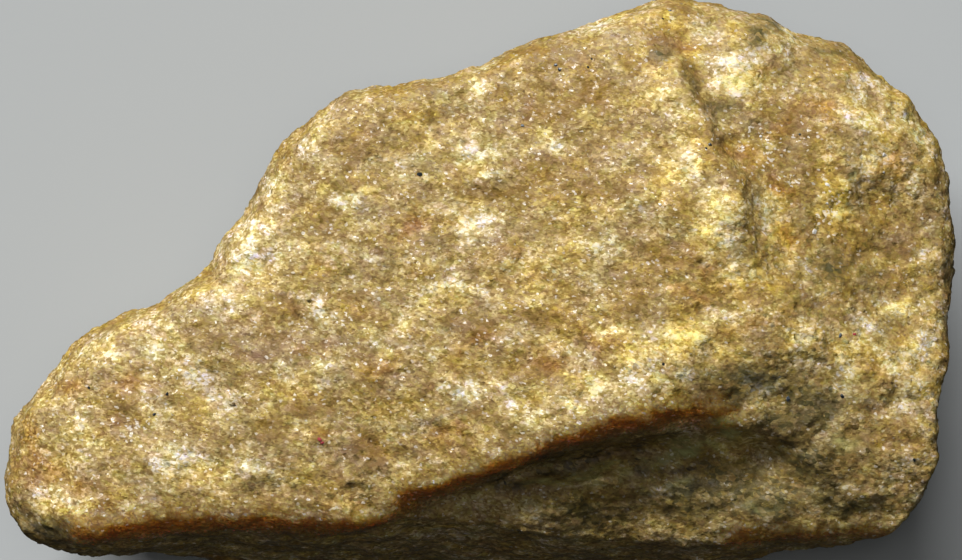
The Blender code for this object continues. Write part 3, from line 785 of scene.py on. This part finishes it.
def stone_tone(graph, masks, clouds, grains, crumbs, dust):
    """How pale the stone is, from 0 for brown to 1 for white."""
    cloud = clouds.outputs["Fac"]
    crumb = channel(graph, crumbs, "Green")
    fleck = channel(graph, dust, "Red")
    chances = weighted(graph, masks, STAIN_CHANCES)
    chance = total(graph, [graph.span(cloud, *CLOUD_CHANCES)] + chances)
    return total(graph, weighted(graph, masks, TONE_SHIFTS) + [
        graph.span(cloud, *CLOUD_TONES),
        pale_cells(graph, grains, chance, *PALE_GRAINS),
        pale_cells(graph, crumbs, chance, *PALE_CRUMBS),
        graph.span(crumb, 0.0, 1.0, -CRUMB_TONE, CRUMB_TONE),
        graph.span(fleck, 0.0, 1.0, -DUST_TONE, DUST_TONE),
    ])


def varied(graph, colour, clouds, grains, crumbs):
    """The colour with its hue changed from cloud to cloud, grain to grain and crumb to crumb."""
    for texture, ends, first, last in (
        (clouds, CLOUD_HUES, OCHRE_TINT, GREY_TINT),
        (grains, (0.0, 1.0), LEAF_TINT, ROSE_TINT),
        (crumbs, (0.0, 1.0), LEAF_TINT, ROSE_TINT),
    ):
        share = graph.span(channel(graph, texture, "Blue"), *ends)
        tint = graph.ramp(share, [(0.0, first), (1.0, last)])
        colour = graph.mixed(1.0, colour, tint, "MULTIPLY")
    return colour


def stained(graph, colour, masks, clouds):
    """The colour tinted by the stains, and by the painted orange glow of the thin edges."""
    for name, tint in STAIN_TINTS.items():
        colour = graph.mixed(masks[name], colour, rgba(tint), "MULTIPLY")
    uneven = graph.maths("MULTIPLY", clouds.outputs["Fac"], GLOW_CLOUDS)
    glow = graph.span(graph.maths("ADD", masks["glow"], uneven), *GLOW_START)
    return graph.mixed(glow, colour, rgba(PAINTED_GLOW_TINT), "MULTIPLY")


def sprinkled(graph, colour, masks, dust):
    """The colour with painted shade in tiny pits and painted glints in the finest dust."""
    pits = graph.span(channel(graph, dust, "Blue"), *PIT_SHADE)
    colour = graph.mixed(pits, colour, rgba(PAINTED_PIT_SHADE))
    luck = channel(graph, dust, "Green")
    luck = graph.maths("ADD", luck, graph.maths("MULTIPLY", masks["spark"], SPARK_CHANCE))
    return graph.mixed(graph.span(luck, *PAINTED_GLINTS), colour, rgba(PAINTED_GLINT_COLOUR))


def filmed_and_painted(graph, colour, masks, crumbs):
    """The colour under the olive film and the painted light and shade of the hollows, patchy from
    crumb to crumb.
    """
    luck = channel(graph, crumbs, "Red")
    patchy = graph.span(luck, 0.0, 1.0, *FILM_AND_PAINTED_LIGHT_STRENGTHS)
    # Green is painted light, dark is painted shade, and olive is a film darkened as painted shade.
    for name, film in FILM_AND_PAINTED_LIGHT_COLOURS.items():
        colour = graph.mixed(graph.maths("MULTIPLY", masks[name], patchy), colour, rgba(film))
    return colour


def stone_colour(graph, settings, place, grains, crumbs, dust):
    """The stone's colour: its tone, its hue, its stains, its painted glints and pit shade, its film,
    its painted light and shade.
    """
    names = ["glow", *STAINS_AND_PAINTED_LIGHT]
    masks = {name: graph.node("Attribute", attribute_name=name).outputs["Fac"] for name in names}
    clouds = graph.noise(drifted(graph, place, *CLOUD_BEND), *CLOUDS)
    colour = graph.ramp(stone_tone(graph, masks, clouds, grains, crumbs, dust), [
        (BROWN_TONE, settings.brown), (TAN_TONE, settings.tan),
        (CREAM_TONE, settings.cream), (WHITE_TONE, settings.white),
    ])
    colour = varied(graph, colour, clouds, grains, crumbs)
    colour = stained(graph, colour, masks, clouds)
    colour = sprinkled(graph, colour, masks, dust)
    return filmed_and_painted(graph, colour, masks, crumbs)


def stone_normal(graph, place, grains, crumbs, dust):
    """The way each crumb faces, over the roundness of the grains, gentler under the olive film."""
    film = graph.node("Attribute", attribute_name="olive").outputs["Fac"]
    tilt = graph.mixed(DUST_SHARE, crumbs.outputs["Color"], dust.outputs["Color"])
    tilt = graph.vector_maths("SUBTRACT", tilt, MIDDLE)
    tilt = graph.scaled(tilt, graph.span(film, *FILM_TILTS))
    normal = graph.node("NewGeometry").outputs["Normal"]
    normal = graph.vector_maths("ADD", normal, tilt)
    normal = graph.node("VectorMath", {0: normal}, operation="NORMALIZE").outputs["Vector"]
    dome = graph.maths("MULTIPLY", grains.outputs["Distance"], -GRAIN_DOME)
    height = graph.maths("ADD", dome, graph.noise(place, *BUMP_NOISE).outputs["Fac"])
    bump = graph.node("Bump", {
        "Height": height, "Distance": BUMP_HEIGHT * MM, "Strength": 1.0, "Normal": normal,
    })
    return bump.outputs["Normal"]


def new_material(name):
    """A new material and its shader."""
    material = bpy.data.materials.new(name)
    material.use_nodes = True
    return material, material.node_tree.nodes["Principled BSDF"]


def stone_material(settings):
    """Sugary quartzite that light passes through at its thin edges."""
    material, shader = new_material("quartzite")
    graph = Graph(material.node_tree)
    place = fabric_place(graph)
    near = drifted(graph, place, *CELL_BEND)
    sizes = [graph.cells(near, size) for size in (GRAIN, CRUMB, DUST)]
    colour = stone_colour(graph, settings, place, *sizes)
    graph.feed(shader.inputs["Base Color"], colour)
    graph.feed(shader.inputs["Normal"], stone_normal(graph, place, *sizes))
    clear = channel(graph, sizes[-1], "Green")
    graph.feed(shader.inputs["Roughness"], graph.span(clear, *SHINE))
    edge = graph.node("Attribute", attribute_name="glow").outputs["Fac"]
    graph.feed(shader.inputs["Subsurface Weight"], graph.span(edge, *GLOW_EDGE))
    shader.inputs["Subsurface Radius"].default_value = GLOW_SHARES
    shader.inputs["Subsurface Scale"].default_value = GLOW_DEPTH * MM
    return material


def plain_material(name, colour, roughness, specular=0.5):
    """A material of one colour."""
    material, shader = new_material(name)
    shader.inputs["Base Color"].default_value = rgba(colour)
    shader.inputs["Roughness"].default_value = roughness
    shader.inputs["Specular IOR Level"].default_value = specular
    return material


# ---------------------------------------------------------------- stage

# The middle of the stone.
AIM = (0.0, 0.0, 15.0)
# The camera looks straight down from far off, a little to the side of the middle.
CAMERA_SIDE = (0.127, 0.66)
LENS = 600.0
SENSOR = 36.0
# The width of the view at the height of the stone's middle, and how far the camera sees.
VIEW_WIDTH = 81.44
CAMERA_REACH = 10000.0
FLOOR_WIDTH = 12000.0
# How bright the backdrop looks, in times the colour of the floor.
BACKDROP = 1.1
# The lights stand far off, so that the floor is evenly lit.
KEY_PLACE, KEY_SIZE = (-1320.0, 3080.0, 2800.0), (4000.0, 640.0)
OVERHEAD_PLACE, OVERHEAD_SIZE = (0.0, 180.0, 3600.0), (900.0, 900.0)


def make_floor(settings):
    """A wide, pale, matt floor that throws no light back on the stone."""
    mesh = bpy.data.meshes.new("floor")
    half = FLOOR_WIDTH / 2 * MM
    corners = [(-half, -half, 0.0), (half, -half, 0.0), (half, half, 0.0), (-half, half, 0.0)]
    mesh.from_pydata(corners, [], [(0, 1, 2, 3)])
    mesh.materials.append(plain_material("floor", settings.floor_colour, 1.0, specular=0.0))
    floor = add_object("floor", mesh)
    floor.visible_diffuse = False
    floor.visible_glossy = False


def add_light(name, place, width, depth, power):
    """A soft rectangular light, its width along x, aimed at the stone."""
    data = bpy.data.lights.new(name, "AREA")
    data.shape = "RECTANGLE"
    data.size = width * MM
    data.size_y = depth * MM
    data.energy = power
    light = add_object(name, data)
    light.location = Vector(place) * MM
    light.rotation_euler = (Vector(AIM) - Vector(place)).to_track_quat("-Z", "Y").to_euler()
    light.visible_camera = False


def make_world(settings):
    """Weak even light from all round, behind a pale backdrop that only the camera sees."""
    world = bpy.data.worlds.new("studio")
    world.use_nodes = True
    graph = Graph(world.node_tree)
    seen = graph.node("LightPath").outputs["Is Camera Ray"]
    background = world.node_tree.nodes["Background"]
    background.inputs["Color"].default_value = rgba(settings.floor_colour)
    strength = graph.span(seen, 0.0, 1.0, settings.surroundings, BACKDROP)
    graph.feed(background.inputs["Strength"], strength)
    bpy.context.scene.world = world


def add_camera():
    """The camera, straight above the stone."""
    data = bpy.data.cameras.new("camera")
    data.lens = LENS
    data.sensor_width = SENSOR
    data.clip_end = CAMERA_REACH * MM
    camera = add_object("camera", data)
    height = LENS * VIEW_WIDTH / SENSOR + AIM[2]
    camera.location = Vector((*CAMERA_SIDE, height)) * MM
    bpy.context.scene.camera = camera


def make_stage(settings):
    """The floor, the lights, the surroundings and the camera."""
    make_floor(settings)
    add_light("key", KEY_PLACE, *KEY_SIZE, settings.key_power)
    add_light("overhead", OVERHEAD_PLACE, *OVERHEAD_SIZE, settings.overhead_power)
    make_world(settings)
    add_camera()
    bpy.context.scene.view_settings.view_transform = "Standard"


# ---------------------------------------------------------------- operators and panel


class QUARTZITE_OT_stone(bpy.types.Operator):
    """Build the stone's fine surface and its material"""

    bl_idname = "quartzite.stone"
    bl_label = "Stone"

    def execute(self, context):
        make_stone(context.scene.quartzite_stone)
        return {"FINISHED"}


class QUARTZITE_OT_specks(bpy.types.Operator):
    """Build the single grains of other minerals that sit in the stone"""

    bl_idname = "quartzite.specks"
    bl_label = "Specks"

    def execute(self, context):
        stone = context.scene.objects.get(STONE_PIECE)
        if stone is None:
            raise RuntimeError("The specks sit in the stone: build the stone first")
        make_specks(stone, context.scene.quartzite_stone.seed)
        return {"FINISHED"}


class QUARTZITE_OT_stage(bpy.types.Operator):
    """Build the floor, the lights and the camera"""

    bl_idname = "quartzite.stage"
    bl_label = "Stage"

    def execute(self, context):
        make_stage(context.scene.quartzite_stage)
        return {"FINISHED"}


class QUARTZITE_PT_panel(bpy.types.Panel):
    """Settings and steps of the specimen"""

    bl_label = "Quartzite Specimen"
    bl_space_type = "VIEW_3D"
    bl_region_type = "UI"
    bl_category = "Quartzite"

    def draw(self, context):
        for group, operators in (
            (context.scene.quartzite_stone, (QUARTZITE_OT_stone, QUARTZITE_OT_specks)),
            (context.scene.quartzite_stage, (QUARTZITE_OT_stage,)),
        ):
            box = self.layout.box()
            for name in group.bl_rna.properties.keys():
                if name not in ("rna_type", "name"):
                    box.prop(group, name)
            for operator in operators:
                box.operator(operator.bl_idname)


CLASSES = (
    StoneSettings,
    StageSettings,
    QUARTZITE_OT_stone,
    QUARTZITE_OT_specks,
    QUARTZITE_OT_stage,
    QUARTZITE_PT_panel,
)


def register():
    """Add the settings, the operators and the panel."""
    for item in CLASSES:
        bpy.utils.register_class(item)
    bpy.types.Scene.quartzite_stone = PointerProperty(type=StoneSettings)
    bpy.types.Scene.quartzite_stage = PointerProperty(type=StageSettings)


def unregister():
    """Take them away again."""
    del bpy.types.Scene.quartzite_stage
    del bpy.types.Scene.quartzite_stone
    for item in reversed(CLASSES):
        bpy.utils.unregister_class(item)


def main():
    """Build the whole scene."""
    register()
    bpy.ops.quartzite.stone()
    bpy.ops.quartzite.specks()
    bpy.ops.quartzite.stage()


if __name__ == "__main__":
    main()
